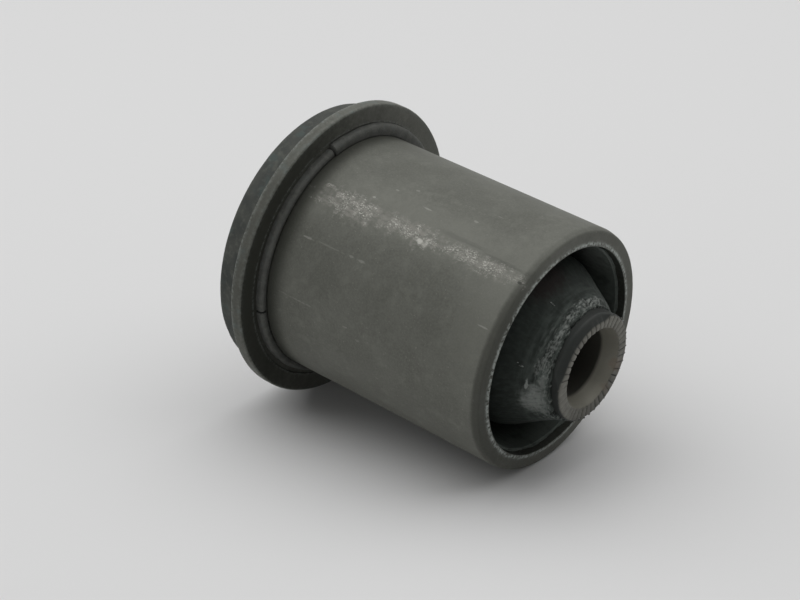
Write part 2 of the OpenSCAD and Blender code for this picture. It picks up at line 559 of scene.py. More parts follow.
@dataclass(frozen=True)
class PhosphatedSteel:
    """Zinc-phosphated mild steel, as the outer sleeve leaves its bath.

    Grey crystals hide the metal and scatter the light, so it looks matt and faintly cloudy. Only the scarfed
    weld, scratches and rubbed edges show brighter steel. A dark coat from the mould lies on its lip and its
    inside wall. Painted shade darkens the tube's foot beside the flange, the flange's face all round but its
    top, and bands on the rim, the lip and the tube's side. Painted highlight brightens broad places near the
    lip and beside the weld, where it is partly the scarfing's haze.
    """

    ground: str = "#5f605a"
    dark: str = "#565751"
    pale: str = "#74756e"
    haze: str = "#8b8983"
    bare: str = "#bab9b2"
    rubbed: str = "#a3a9a5"
    crevice: str = "#3f403c"
    # colour of the mould's dark coat, and of all painted shade on the sleeve
    shade_and_film: str = "#2b2c27"
    bluish: str = "#66716f"
    cloud: float = 7.0
    crystal: float = 0.4
    # painted shade on the tube's foot beside the flange: its strength, and how far up the tube it reaches
    foot_shade: float = 0.85
    foot_shade_reach: float = 4.9
    lip_film: float = 0.14
    wall_film: float = 0.85
    rough: float = 0.56

    def material(
        self,
        r: float,
        wall_r: float,
        face_r: float,
        rim_r: float,
        foot_z: float,
        lip_z: float,
        marks: TubeMarks,
    ) -> bpy.types.Material:
        """Build the material.

        Args:
            r: Radius of the tube that the marks lie on.
            wall_r: Radius of the tube's inside, dulled by rubber.
            face_r: Radius that the marks on the flange's face lie at.
            rim_r: Radius of the flange's rim.
            foot_z: Height of the tube's foot, above the root bead.
            lip_z: Height where the tube bends into its lip.
            marks: The marks.

        Returns:
            The material.
        """
        c = Canvas.blank("zinc phosphated steel")
        fray = c.clouds(1.1, 0.2, 0.8, detail=4.0)
        fine = c.clouds(0.22, 0.46, 0.7, stretch=(1.0, 1.0, 1.6), detail=3.0)
        clusters = c.clouds(2.0, 0.4, 0.64, detail=4.0)
        flecks = add(c.tree, "ShaderNodeMath", {0: fine, 1: clusters}, operation="MULTIPLY")
        # real crystals are under 0.05 mm and too fine to show, so they are drawn at 0.4 mm
        crystals = c.clouds(self.crystal, 0.25, 0.75, 0.3)
        scarf = c.marks(marks.weld, r, fray)
        wisps = c.clouds(0.7, 0.3, 0.68, 0.7, stretch=(1.0, 1.0, 2.0), detail=5.0)
        haze = add(c.tree, "ShaderNodeMath", {0: scarf, 1: wisps}, operation="MULTIPLY")
        bare = add(c.tree, "ShaderNodeMath", {0: scarf, 1: flecks}, operation="MULTIPLY")
        lines = c.marks(marks.scratches, r, fray)
        wear = add(c.tree, "ShaderNodeAttribute", out="Fac", attribute_name="wear")
        patchy = c.clouds(0.6, 0.34, 0.66, detail=4.0)
        rubbed = add(c.tree, "ShaderNodeMath", {0: wear, 1: patchy}, operation="MULTIPLY")
        inside_rim = add(c.tree, "ShaderNodeMapRange", {0: c.r, 1: rim_r - 0.3, 2: rim_r - 0.45})
        # painted shade on the flange's face inside its rim, all round but its top, where the tube shades it
        face = c.marks(marks.face, face_r, fray)
        face_shade = add(c.tree, "ShaderNodeMath", {0: face, 1: inside_rim}, operation="MULTIPLY")
        # painted shade on the tube's foot, darkest beside the flange and fading up the tube
        on_tube = add(c.tree, "ShaderNodeMapRange", {0: c.z, 1: foot_z - 1.0, 2: foot_z - 0.2})
        fading = {0: c.z, 1: foot_z + self.foot_shade_reach, 2: foot_z + 0.3, 4: self.foot_shade}
        shade_and_film = add(c.tree, "ShaderNodeMapRange", fading, interpolation_type="SMOOTHSTEP")
        foot = add(c.tree, "ShaderNodeMath", {0: shade_and_film, 1: on_tube}, operation="MULTIPLY")
        rising = {0: c.z, 1: lip_z + 0.1, 2: lip_z + 0.5, 4: self.lip_film}
        lip = add(c.tree, "ShaderNodeMapRange", rising)
        inward = {0: c.r, 1: wall_r + 0.12, 2: wall_r + 0.02, 4: self.wall_film}
        inner = add(c.tree, "ShaderNodeMapRange", inward)
        on_rim = add(c.tree, "ShaderNodeMapRange", {0: c.r, 1: rim_r - 0.4, 2: rim_r - 0.2})
        tinted = c.clouds(2.6, 0.5, 0.7, 0.5, detail=4.0)
        tint = add(c.tree, "ShaderNodeMath", {0: tinted, 1: on_rim}, operation="MULTIPLY")
        marked = add(c.tree, "ShaderNodeMath", {0: bare, 1: lines}, operation="MAXIMUM")
        bright = add(c.tree, "ShaderNodeMath", {0: marked, 1: rubbed}, operation="MAXIMUM")
        colour = c.coats(
            self.ground,
            (
                (c.clouds(self.cloud, most=0.7, detail=3.0), self.dark),
                (c.clouds(2.4, 0.5, 0.75, 0.35, detail=4.0), self.pale),
                (crystals, self.pale),
                (c.clouds(0.45, 0.66, 0.76, 0.4), self.haze),
                (tint, self.bluish),
                # painted highlight near the lip and beside the weld, where it is partly the scarfing's haze
                (c.marks(marks.haze_and_highlight, r, fray), self.pale),
                (haze, self.haze),
                (c.marks(marks.seam, r, fray), self.crevice),
                # painted shade in bands on the rim, the lip and the tube; then the mould's coat on the lip;
                # then painted shade on the tube's foot and the flange's face
                (c.marks(marks.shade_and_film, r, fray), self.shade_and_film),
                (lip, self.shade_and_film),
                (foot, self.shade_and_film),
                (face_shade, self.shade_and_film),
                (marked, self.bare),
                (rubbed, self.rubbed),
                (inner, self.shade_and_film),
            ),
        )
        rough = add(c.tree, "ShaderNodeMath", {0: bright, 1: -0.15, 2: self.rough}, operation="MULTIPLY_ADD")
        metal = add(c.tree, "ShaderNodeMath", {0: bright, 1: 0.3}, operation="MULTIPLY")
        uneven = add(c.tree, "ShaderNodeMath", {0: bare, 1: 1.5, 2: crystals}, operation="MULTIPLY_ADD")
        surface = {"Base Color": colour, "Roughness": rough, "Metallic": metal, "Specular IOR Level": 0.12}
        return c.cover(surface, uneven, strength=0.4, depth=0.06)


@dataclass(frozen=True)
class MachinedSteel:
    """Turned and stamped free-cutting steel, as cut and lightly oiled.

    Fine turning rings under a dull brown tarnish, with a little rust where the oil has gone.
    """

    ground: str = "#73726b"
    dark: str = "#5c5b55"
    tarnish: str = "#757369"
    rust: str = "#6d5a49"
    soot: str = "#403f3a"
    # colour of the sleeve's outside below its end faces, nearly black
    barrel_dark: str = "#151a19"
    ring: float = 0.22
    rough: float = 0.42

    def material(
        self, bore_r: float, mouth_r: float, sleeve_r: float, ends: tuple[float, float]
    ) -> bpy.types.Material:
        """Build the material.

        Args:
            bore_r: Radius of the bore.
            mouth_r: Radius of the countersink's mouth.
            sleeve_r: Outside radius of the sleeve.
            ends: Heights of the rear and the front end face.

        Returns:
            The material.
        """
        face_z = ends[1]
        half = (ends[1] - ends[0]) / 2
        c = Canvas.blank("machined steel")
        across = add(c.tree, "ShaderNodeMath", {0: c.r, 1: self.ring}, operation="DIVIDE")
        rings = add(c.tree, "ShaderNodeTexNoise", {"W": across, "Scale": 1.0}, noise_dimensions="1D")
        fray = c.clouds(0.6, 0.2, 0.8, detail=4.0)
        rust = c.marks((Spot(104.0, face_z, 1.2, 1.4, 0.3), Spot(72.0, face_z, 0.8, 1.0, 0.2)), mouth_r, fray)
        dull = c.marks((Spot(60.0, face_z, 9.0, 0.8, 0.55, 0.8, 1.2),), mouth_r, fray)
        inside = add(c.tree, "ShaderNodeMapRange", {0: c.r, 1: sleeve_r - 0.5, 2: sleeve_r - 1.5})
        cone = add(c.tree, "ShaderNodeMapRange", {0: c.r, 1: mouth_r + 0.05, 2: mouth_r - 0.1, 4: 0.8})
        bore = add(c.tree, "ShaderNodeMapRange", {0: c.r, 1: bore_r + 0.2, 2: bore_r + 0.02})
        outside = add(c.tree, "ShaderNodeMapRange", {0: c.r, 1: mouth_r + 0.05, 2: mouth_r + 0.25})
        centred = add(c.tree, "ShaderNodeMath", {0: c.z, 1: face_z - half}, operation="SUBTRACT")
        far = add(c.tree, "ShaderNodeMath", {0: centred}, operation="ABSOLUTE")
        sunk = add(c.tree, "ShaderNodeMapRange", {0: far, 1: half - 0.1, 2: half - 0.35, 4: 0.92})
        barrel = add(c.tree, "ShaderNodeMath", {0: sunk, 1: outside}, operation="MULTIPLY")
        colour = c.coats(
            self.ground,
            (
                (c.clouds(2.2, most=0.6, detail=3.0), self.dark),
                (c.clouds(0.35, 0.45, 0.75, 0.4), self.dark),
                (dull, self.soot),
                # the sleeve's outside below its end faces is drawn nearly black
                (barrel, self.barrel_dark),
                (cone, self.tarnish),
                (add(c.tree, "ShaderNodeMath", {0: rust, 1: inside}, operation="MULTIPLY"), self.rust),
                (bore, self.soot),
            ),
        )
        rough = add(c.tree, "ShaderNodeMath", {0: rings, 1: 0.15, 2: self.rough}, operation="MULTIPLY_ADD")
        surface = {"Base Color": colour, "Roughness": rough, "Metallic": 0.25, "Specular IOR Level": 0.25}
        return c.cover(surface, rings, strength=0.3, depth=0.03)


@dataclass(frozen=True)
class MouldedRubber:
    """Black natural rubber as moulded and bonded to the bolt sleeve.

    Matt greenish black with faint flow marks along the neck. Chalky mould release is rubbed over the torn
    edge. The lining is grey, with painted light that is full near the opening and fades deeper into the
    groove. Each span starts and ends at a depth below the torn edge.
    """

    ground: str = "#212522"
    flow: str = "#2f3531"
    rubbed: str = "#4d534f"
    chalk: str = "#858985"
    pit: str = "#131613"
    # grey of the lining where its painted light is full
    lit_bloom: str = "#565c57"
    # colour of the painted shadow that the tube's lip casts on the neck
    shadow_brown: str = "#1c1413"
    flow_size: float = 0.8
    torn_span: tuple[float, float] = (3.4, 0.9)
    # depths where the neck starts to turn paler and where it is palest
    edge_pale_span: tuple[float, float] = (6.0, 1.2)
    # depths where painted light on the lining starts and where it is full
    lit_bloom_span: tuple[float, float] = (15.0, 9.0)
    rough: float = 0.7

    def material(
        self,
        neck_r: float,
        shoulder_r: float,
        edge_z: float,
        lining_r: float,
        smears: Sequence[Spot],
        leaf: Sequence[Spot],
        painted_shadows: Sequence[Spot],
        lit_patches: Sequence[Spot],
    ) -> bpy.types.Material:
        """Build the material.

        Args:
            neck_r: Radius that the smears lie at.
            shoulder_r: Radius where the neck ends at the groove.
            edge_z: Height of the neck's torn edge.
            lining_r: Radius of the lining's inside.
            smears: Rough pale smears of mould release.
            leaf: A smooth pale leaf of it, drawn out along the neck.
            painted_shadows: The tube lip's shadow on the neck, painted dark brown.
            lit_patches: Painted light on the lining's inside near its top, in the chalk colour.

        Returns:
            The material.
        """
        c = Canvas.blank("moulded rubber")
        fray = c.clouds(0.9, 0.2, 0.8, detail=4.0)
        flow = c.clouds(self.flow_size, 0.38, 0.7, 0.6, stretch=(1.0, 1.0, 7.0), detail=3.0)
        depth = add(c.tree, "ShaderNodeMath", {0: edge_z, 1: c.z}, operation="SUBTRACT")
        on_neck = add(c.tree, "ShaderNodeMapRange", {0: c.r, 1: shoulder_r, 2: shoulder_r - 1.5})
        raised = add(c.tree, "ShaderNodeMapRange", {0: depth, 1: self.torn_span[0], 2: self.torn_span[1]})
        near_edge = add(c.tree, "ShaderNodeMath", {0: raised, 1: on_neck}, operation="MULTIPLY")
        # the neck is drawn paler in streaks towards the torn edge
        toward_edge = {0: depth, 1: self.edge_pale_span[0], 2: self.edge_pale_span[1], 4: 0.9}
        edge_pale = add(c.tree, "ShaderNodeMapRange", toward_edge)
        streaks = c.strokes(4.5, 0.8, neck_r, 0.36, 0.66)
        paler = add(c.tree, "ShaderNodeMath", {0: edge_pale, 1: streaks}, operation="MULTIPLY")
        torn = c.strokes(1.6, 0.5, neck_r, 0.5, 0.68, 0.6)
        chalk = add(c.tree, "ShaderNodeMath", {0: near_edge, 1: torn}, operation="MULTIPLY")
        pitted = c.strokes(1.3, 0.55, neck_r, 0.55, 0.66, 0.9)
        pits = add(c.tree, "ShaderNodeMath", {0: near_edge, 1: pitted}, operation="MULTIPLY")
        crumbs = c.strokes(0.9, 0.3, neck_r, 0.34, 0.62)
        smear = c.marks(smears, neck_r, fray)
        smeared = add(c.tree, "ShaderNodeMath", {0: smear, 1: crumbs}, operation="MULTIPLY")
        drawn = c.clouds(0.6, 0.0, 0.6, stretch=(1.0, 1.0, 6.0), detail=2.0)
        leaves = c.marks(leaf, neck_r, fray)
        leafed = add(c.tree, "ShaderNodeMath", {0: leaves, 1: drawn}, operation="MULTIPLY")
        # the lining: grey, with painted light that fades from the opening down into the groove
        on_lining = add(c.tree, "ShaderNodeMapRange", {0: c.r, 1: lining_r - 0.9, 2: lining_r - 0.3, 4: 0.9})
        lit_near_opening = add(c.tree, "ShaderNodeMapRange", {0: depth, 1: self.lit_bloom_span[0], 2: self.lit_bloom_span[1]})
        lining = add(c.tree, "ShaderNodeMath", {0: on_lining, 1: lit_near_opening}, operation="MULTIPLY")
        # painted light on the lining's inside near its top, in the chalk colour
        lit_marks = c.marks(lit_patches, lining_r, fray)
        haze = add(c.tree, "ShaderNodeMath", {0: lit_marks, 1: on_lining}, operation="MULTIPLY")
        colour = c.coats(
            self.ground,
            (
                (flow, self.flow),
                (paler, self.rubbed),
                # painted shadow of the tube's lip on the neck
                (c.marks(painted_shadows, neck_r, fray), self.shadow_brown),
                (lining, self.lit_bloom),
                (haze, self.chalk),
                (c.clouds(2.5, 0.5, 0.7, 0.4, detail=4.0), self.pit),
                (pits, self.pit),
                (chalk, self.chalk),
                (smeared, self.chalk),
                (leafed, self.chalk),
            ),
        )
        rough = add(c.tree, "ShaderNodeMath", {0: torn, 1: 0.1, 2: self.rough}, operation="MULTIPLY_ADD")
        crusted = add(c.tree, "ShaderNodeMath", {0: chalk, 1: smeared}, operation="ADD")
        uneven = add(c.tree, "ShaderNodeMath", {0: crusted, 1: 2.5, 2: flow}, operation="MULTIPLY_ADD")
        surface = {"Base Color": colour, "Roughness": rough, "Specular IOR Level": 0.15}
        return c.cover(surface, uneven, strength=0.8, depth=0.12)


@dataclass(frozen=True)
class DustyRubber:
    """The same rubber outside the tube, where handling and shelf dust have greyed it.

    Grey and mottled, with paler rubbed flecks and a dull skin.
    """

    ground: str = "#424440"
    dark: str = "#343735"
    dust: str = "#5a5c56"
    bluish: str = "#434f4d"
    patch: float = 4.0
    rough: float = 0.66

    def material(self) -> bpy.types.Material:
        """Build the material.

        Returns:
            The material.
        """
        c = Canvas.blank("dusty rubber")
        smudges = c.clouds(1.1, 0.48, 0.75, 0.6, detail=4.0)
        grain = c.clouds(0.3, 0.3, 0.7)
        wear = add(c.tree, "ShaderNodeAttribute", out="Fac", attribute_name="wear")
        patchy = c.clouds(0.8, 0.2, 0.7, 0.7)
        rubbed = add(c.tree, "ShaderNodeMath", {0: wear, 1: patchy}, operation="MULTIPLY")
        colour = c.coats(
            self.ground,
            (
                (c.clouds(self.patch, most=0.8, detail=4.0), self.dark),
                (c.clouds(self.patch * 0.8, 0.54, 0.68, 0.5, detail=3.0), self.bluish),
                (smudges, self.dust),
                (rubbed, self.dust),
            ),
        )
        rough = add(c.tree, "ShaderNodeMath", {0: smudges, 1: 0.15, 2: self.rough}, operation="MULTIPLY_ADD")
        uneven = add(c.tree, "ShaderNodeMath", {0: smudges, 1: 1.5, 2: grain}, operation="MULTIPLY_ADD")
        surface = {"Base Color": colour, "Roughness": rough, "Specular IOR Level": 0.2}
        return c.cover(surface, uneven, strength=0.4, depth=0.06)


# Pieces of the bushing


def hand_over(piece: bpy.types.Object, slot: Slot, *nodes: str) -> None:
    """Give a finished piece to the frame and report it.

    Args:
        piece: The piece.
        slot: The record's slot that its finish stands for; not used.
        nodes: Solids that it is shown in place of.
    """
    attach(piece, BODY)
    if nodes:
        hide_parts(*nodes)
    LOG.info("%s: %d faces", piece.name, len(piece.data.polygons))


@dataclass(frozen=True)
class WeldSeam:
    """The scarfed butt weld that runs along the rolled tube.

    Attributes:
        angle: Angle of the weld.
        half_arc: Half the width that the scarfing tool cut.
        depth: How deep it cut.
        ripple: Mean and swing of that depth, as shares of it.
        lap_start: Angle and height where the open lap beside the weld starts.
        lap_end: Angle and height where it ends at the lip.
        lap_half: Half the lap's width.
        lap_depth: Depth of the lap.
        lap_sway: How far the lap sways to each side of its line.
        columns: First angle, last angle and step of the mesh's columns across the weld.
    """

    angle: float = -112.6
    half_arc: float = 1.7
    depth: float = 0.06
    ripple: tuple[float, float] = (0.6, 0.9)
    lap_start: tuple[float, float] = (-118.8, 45.0)
    lap_end: tuple[float, float] = (-116.4, 60.2)
    lap_half: float = 0.2
    lap_depth: float = 0.055
    lap_sway: float = 0.12
    columns: tuple[float, float, float] = (-122.0, -104.0, 0.3)

    def cut(self, r: np.ndarray, z: np.ndarray, angle: np.ndarray) -> np.ndarray:
        """Find how far the weld's marks lie under the tube's round surface.

        Args:
            r: Radii of the tube's points.
            z: Their heights.
            angle: Their angles.

        Returns:
            The depth at each point.
        """
        arc = np.radians(angle - self.angle) * r
        ripple = self.ripple[0] + self.ripple[1] * relief(r, z, angle, grain=1.4, seed=3.0)
        scarf = self.depth * ripple * np.exp(-((arc / self.half_arc) ** 4))
        share = (z - self.lap_start[1]) / (self.lap_end[1] - self.lap_start[1])
        line = self.lap_start[0] + share * (self.lap_end[0] - self.lap_start[0])
        beside = np.radians(angle - line) * r + self.lap_sway * np.sin(1.3 * z)
        lap = self.lap_depth * np.exp(-((beside / self.lap_half) ** 2))
        return scarf + lap * smooth_rise(share, -0.05, 0.15)


@dataclass(frozen=True)
class OuterSleeve:
    """The flanged steel tube that is pressed into the arm's eye."""

    tube_r: float
    flange_r: float
    flange_rear_z: float
    end_z: float
    wall: float = 3.5
    flange_t: float = 2.55
    flange_bend: float = 2.4
    rim_soft: float = 0.4
    seat_w: float = 2.4
    seat_depth: float = 0.35
    foot_h: float = 1.45
    lip_h: float = 1.6
    lip_taper: float = 0.4
    lip_bend: float = 1.2
    lip_edge: float = 0.5
    crest_w: float = 1.0
    crest_h: float = 0.15
    round_from_z: float = 12.0
    tube_wave: float = 0.015
    crest_wave: float = 0.05
    rim_wave: float = 0.03
    mark_r: float = 28.0
    weld: WeldSeam = WeldSeam()

    @classmethod
    def from_frame(cls) -> "OuterSleeve":
        """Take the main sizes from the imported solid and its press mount."""
        low, high = box_mm("outer_sleeve")
        return cls(mount_radius("press_diameter"), high.x, low.z, high.z)

    @property
    def wall_r(self) -> float:
        """Radius of the tube's inside."""
        return self.tube_r - self.wall

    @property
    def face_z(self) -> float:
        """Height of the flange's front face."""
        return self.flange_rear_z + self.flange_t

    @property
    def foot_z(self) -> float:
        """Height of the tube's foot, above the root bead."""
        return self.face_z + self.foot_h

    @property
    def bend_z(self) -> float:
        """Height where the tube bends into its lip."""
        return self.end_z - self.lip_h

    def section(self) -> Section:
        """Draw the sleeve's section.

        Returns:
            The section.
        """
        seat_r = self.tube_r + self.seat_w
        seat_z = self.face_z - self.seat_depth
        foot_r = self.tube_r - self.seat_depth
        end_face_z = self.end_z - self.crest_h
        corners = (
            Corner(self.wall_r, self.flange_rear_z, self.flange_bend, run=3.0),
            Corner(self.flange_r, self.flange_rear_z, self.rim_soft, worn=0.3),
            Corner(self.flange_r, self.face_z, self.rim_soft, worn=0.12),
            Corner(seat_r, self.face_z, 0.08, worn=0.25),
            Corner(seat_r, seat_z),
            Corner(foot_r, seat_z),
            Corner(foot_r, self.foot_z),
            Corner(self.tube_r, self.foot_z, 0.06),
            Corner(self.tube_r, self.bend_z, self.lip_bend),
            Corner(self.tube_r - self.lip_taper, end_face_z, self.lip_edge),
            Corner(self.wall_r + self.crest_w, end_face_z, 0.1),
            Corner(self.wall_r + self.crest_w / 2, self.end_z, 0.12, worn=1.0),
            Corner(self.wall_r, self.end_z, 0.14, worn=0.5, run=4.0),
        )
        return Section(corners, 0.5)

    def shape(self, r: np.ndarray, z: np.ndarray, angle: np.ndarray) -> tuple[np.ndarray, np.ndarray]:
        """Give the turned section its weld and its slight unevenness.

        Args:
            r: Radii of the points.
            z: Heights of the points.
            angle: Angles of the points.

        Returns:
            The new radii and heights.
        """
        outside = smooth_rise(r, self.tube_r - 1.0, self.tube_r - 0.05)
        above = smooth_rise(z, self.foot_z, self.round_from_z)
        below = 1.0 - smooth_rise(z, self.bend_z, self.end_z - 0.6)
        on_tube = outside * above * below
        on_crest = smooth_rise(z, self.end_z - 0.9, self.end_z)
        on_rim = smooth_rise(r, self.flange_r - 1.0, self.flange_r)
        tube = self.tube_wave * (relief(r, z, angle, grain=9.0, seed=1.0) - 1.0) - self.weld.cut(r, z, angle)
        crest = self.crest_wave * relief(r, z, angle, grain=3.0, seed=2.0)
        rim = self.rim_wave * (relief(r, z, angle, grain=5.0, seed=4.0) - 1.0)
        return r + on_rim * rim + on_tube * tube, z - np.abs(on_crest * crest)

    def build(self) -> bpy.types.Object:
        """Build the sleeve."""
        columns = spread_columns(1.25, (self.weld.columns,))
        return turned("outer_sleeve_steel", self.section(), columns, self.shape)

    def dress(self, piece: bpy.types.Object) -> None:
        """Finish the sleeve and hand it over.

        Args:
            piece: The sleeve.
        """
        marks = TubeMarks(
            weld=(
                Spot(-111.6, 21.5, 2.3, 7.5, 0.9, 1.1, 1.1),
                Spot(-113.0, 34.0, 1.5, 8.0, 0.85, 1.1, 1.1),
                Spot(-113.0, 38.2, 2.1, 3.6, 0.9, 1.1, 1.1),
                Spot(-110.6, 39.0, 0.8, 1.6, 1.0, 0.6, 0.8),
                Spot(-112.9, 51.0, 1.5, 9.5, 0.75, 1.1, 1.1),
                Spot(-114.6, 54.5, 0.3, 6.0, 0.9, 1.1, 0.8),
                Spot(-114.3, 60.0, 0.5, 0.9, 1.0, 0.6),
                Spot(-116.2, 14.0, 0.5, 1.2, 0.9),
            ),
            # painted highlight near the lip; beside the weld partly the scarfing's haze and partly painted
            # highlight
            haze_and_highlight=(
                Spot(-119.0, 38.0, 5.0, 25.0, 0.6, 0.5, 1.6),
                Spot(-104.0, 59.0, 16.0, 6.0, 0.5, 0.5, 1.6),
                Spot(-106.0, 13.5, 3.0, 2.5, 0.4, 0.6, 1.4),
            ),
            scratches=(
                Spot(-90.5, 15.7, 0.15, 1.2, 0.22, 1.2, 0.9),
                Spot(-91.0, 22.0, 0.14, 4.0, 0.1, 1.8, 0.9),
                Spot(-91.2, 26.5, 0.2, 0.6, 0.16, 1.4, 0.9),
                Spot(-91.2, 29.0, 0.2, 0.8, 0.16, 1.4, 0.9),
                Spot(-62.0, 17.5, 0.18, 3.0, 0.12, 1.6, 0.9),
                Spot(-88.6, 59.0, 0.14, 1.2, 0.22, 1.0, 0.8),
                Spot(-126.0, 35.0, 0.16, 0.9, 0.22, 1.0, 0.8),
                Spot(-139.0, 48.0, 0.14, 0.6, 0.12),
                Spot(-130.5, 45.0, 0.2, 0.4, 0.18, 1.0, 0.8),
                Spot(-120.0, 23.6, 0.18, 0.3, 0.3),
                Spot(-133.0, 30.0, 0.25, 0.5, 0.16),
                Spot(-128.5, 26.5, 0.2, 0.4, 0.2),
                Spot(-57.0, 33.0, 0.25, 0.5, 0.1, 1.4),
                Spot(-60.5, 29.5, 0.25, 0.5, 0.1, 1.4),
                Spot(-110.3, 38.4, 0.45, 0.8, 0.6, 2.0, 1.2),
                Spot(-111.4, 39.2, 0.5, 0.7, 0.45, 2.4, 1.0),
                Spot(-109.6, 39.1, 0.4, 0.5, 0.35, 2.4, 1.0),
            ),
            seam=(
                Spot(-119.0, 45.5, 0.5, 5.5, 0.2, 0.8, 1.2),
                Spot(-117.2, 55.5, 0.45, 5.0, 0.3, 0.8, 1.2),
                Spot(-112.1, 61.0, 0.3, 0.4, 0.8),
            ),
            # painted shade: near side of the rim and the lip, a band down the tube's side, the tube's top
            # beside the flange
            shade_and_film=(
                Spot(-78.0, 6.9, 22.0, 2.5, 0.5, 0.6, 1.4),
                Spot(-62.0, 61.8, 26.0, 1.3, 0.56, 0.2, 0.8),
                Spot(-82.0, 36.0, 8.0, 30.0, 0.14, 0.4, 1.6),
                Spot(-162.0, 13.0, 6.0, 8.0, 0.2, 0.3, 1.6),
            ),
            # painted shade on the flange's face, all round but its top
            face=(Spot(-66.0, 8.2, 37.0, 0.5, 0.85, 0.15, 0.9),),
        )
        finish = PhosphatedSteel().material(
            self.tube_r, self.wall_r, self.mark_r, self.flange_r, self.foot_z, self.bend_z, marks
        )
        piece.data.materials.append(finish)
        hand_over(piece, Slot.OUTER_STEEL, "outer_sleeve")


@dataclass(frozen=True)
class Scatter:
    """How the copies of one shape lie and vary around the bolt sleeve's ends.

    Attributes:
        name: Name of the tree's input that holds the shape.
        offset: How far the copies are turned, as a share of their spacing.
        low: Smallest scale along each axis.
        high: Largest scale along each axis.
        worn: What wear adds to the scale.
    """

    name: str
    offset: float
    low: tuple[float, float, float]
    high: tuple[float, float, float]
    worn: tuple[float, float, float]


